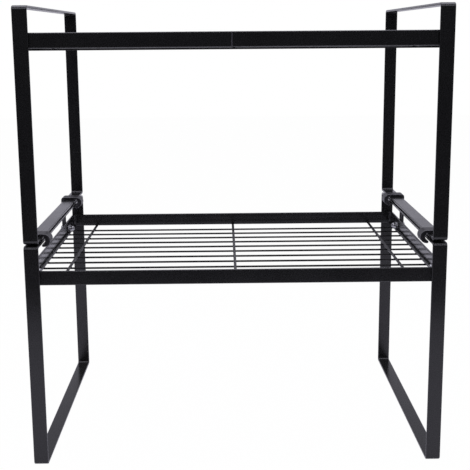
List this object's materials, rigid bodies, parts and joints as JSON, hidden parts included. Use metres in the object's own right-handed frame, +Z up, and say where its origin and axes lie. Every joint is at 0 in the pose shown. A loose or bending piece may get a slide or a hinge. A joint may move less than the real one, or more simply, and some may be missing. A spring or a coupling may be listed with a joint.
{
  "type": "two-tier countertop organizer",
  "caption": "Stackable counter organizer: flat-bar end frames carry rimmed wire shelves, one tier clipped and screwed on top of the other.",
  "frame": {"origin": "on the counter under the middle of the organizer, between the two bottom bars", "axes": "+X to the right seen from the front, +Y from front to back, +Z up"},
  "size_m": [0.4104, 0.306, 0.4408],
  "materials": {
    "black_coating": "satin black powder coat",
    "wire_coating": "satin black powder coat",
    "black_plastic": "satin moulded nylon",
    "zinc_plate": "bright zinc plate"
  },
  "bodies": {
    "root": {"lower_left_end_frame": "black_coating", "lower_right_end_frame": "black_coating", "upper_left_end_frame": "black_coating", "upper_right_end_frame": "black_coating", "lower_shelf_rim": "black_coating", "upper_shelf_rim": "black_coating", "lower_long_wire_01": "wire_coating", "lower_long_wire_02": "wire_coating", "lower_long_wire_03": "wire_coating", "lower_long_wire_04": "wire_coating", "lower_long_wire_05": "wire_coating", "lower_long_wire_06": "wire_coating", "lower_long_wire_07": "wire_coating", "lower_long_wire_08": "wire_coating", "lower_long_wire_09": "wire_coating", "lower_long_wire_10": "wire_coating", "lower_long_wire_11": "wire_coating", "upper_long_wire_01": "wire_coating", "upper_long_wire_02": "wire_coating", "upper_long_wire_03": "wire_coating", "upper_long_wire_04": "wire_coating", "upper_long_wire_05": "wire_coating", "upper_long_wire_06": "wire_coating", "upper_long_wire_07": "wire_coating", "upper_long_wire_08": "wire_coating", "upper_long_wire_09": "wire_coating", "upper_long_wire_10": "wire_coating", "upper_long_wire_11": "wire_coating", "lower_left_cross_wire": "wire_coating", "lower_middle_cross_wire": "wire_coating", "lower_right_cross_wire": "wire_coating", "lower_left_edge_wire": "wire_coating", "lower_right_edge_wire": "wire_coating", "upper_left_cross_wire": "wire_coating", "upper_middle_cross_wire": "wire_coating", "upper_right_cross_wire": "wire_coating", "upper_left_edge_wire": "wire_coating", "upper_right_edge_wire": "wire_coating", "front_left_connector": "black_plastic", "front_right_connector": "black_plastic", "rear_left_connector": "black_plastic", "rear_right_connector": "black_plastic", "front_left_screw": "zinc_plate", "front_right_screw": "zinc_plate", "rear_left_screw": "zinc_plate", "rear_right_screw": "zinc_plate", "front_left_nut": "zinc_plate", "front_right_nut": "zinc_plate", "rear_left_nut": "zinc_plate", "rear_right_nut": "zinc_plate"}
  },
  "joints": []
}
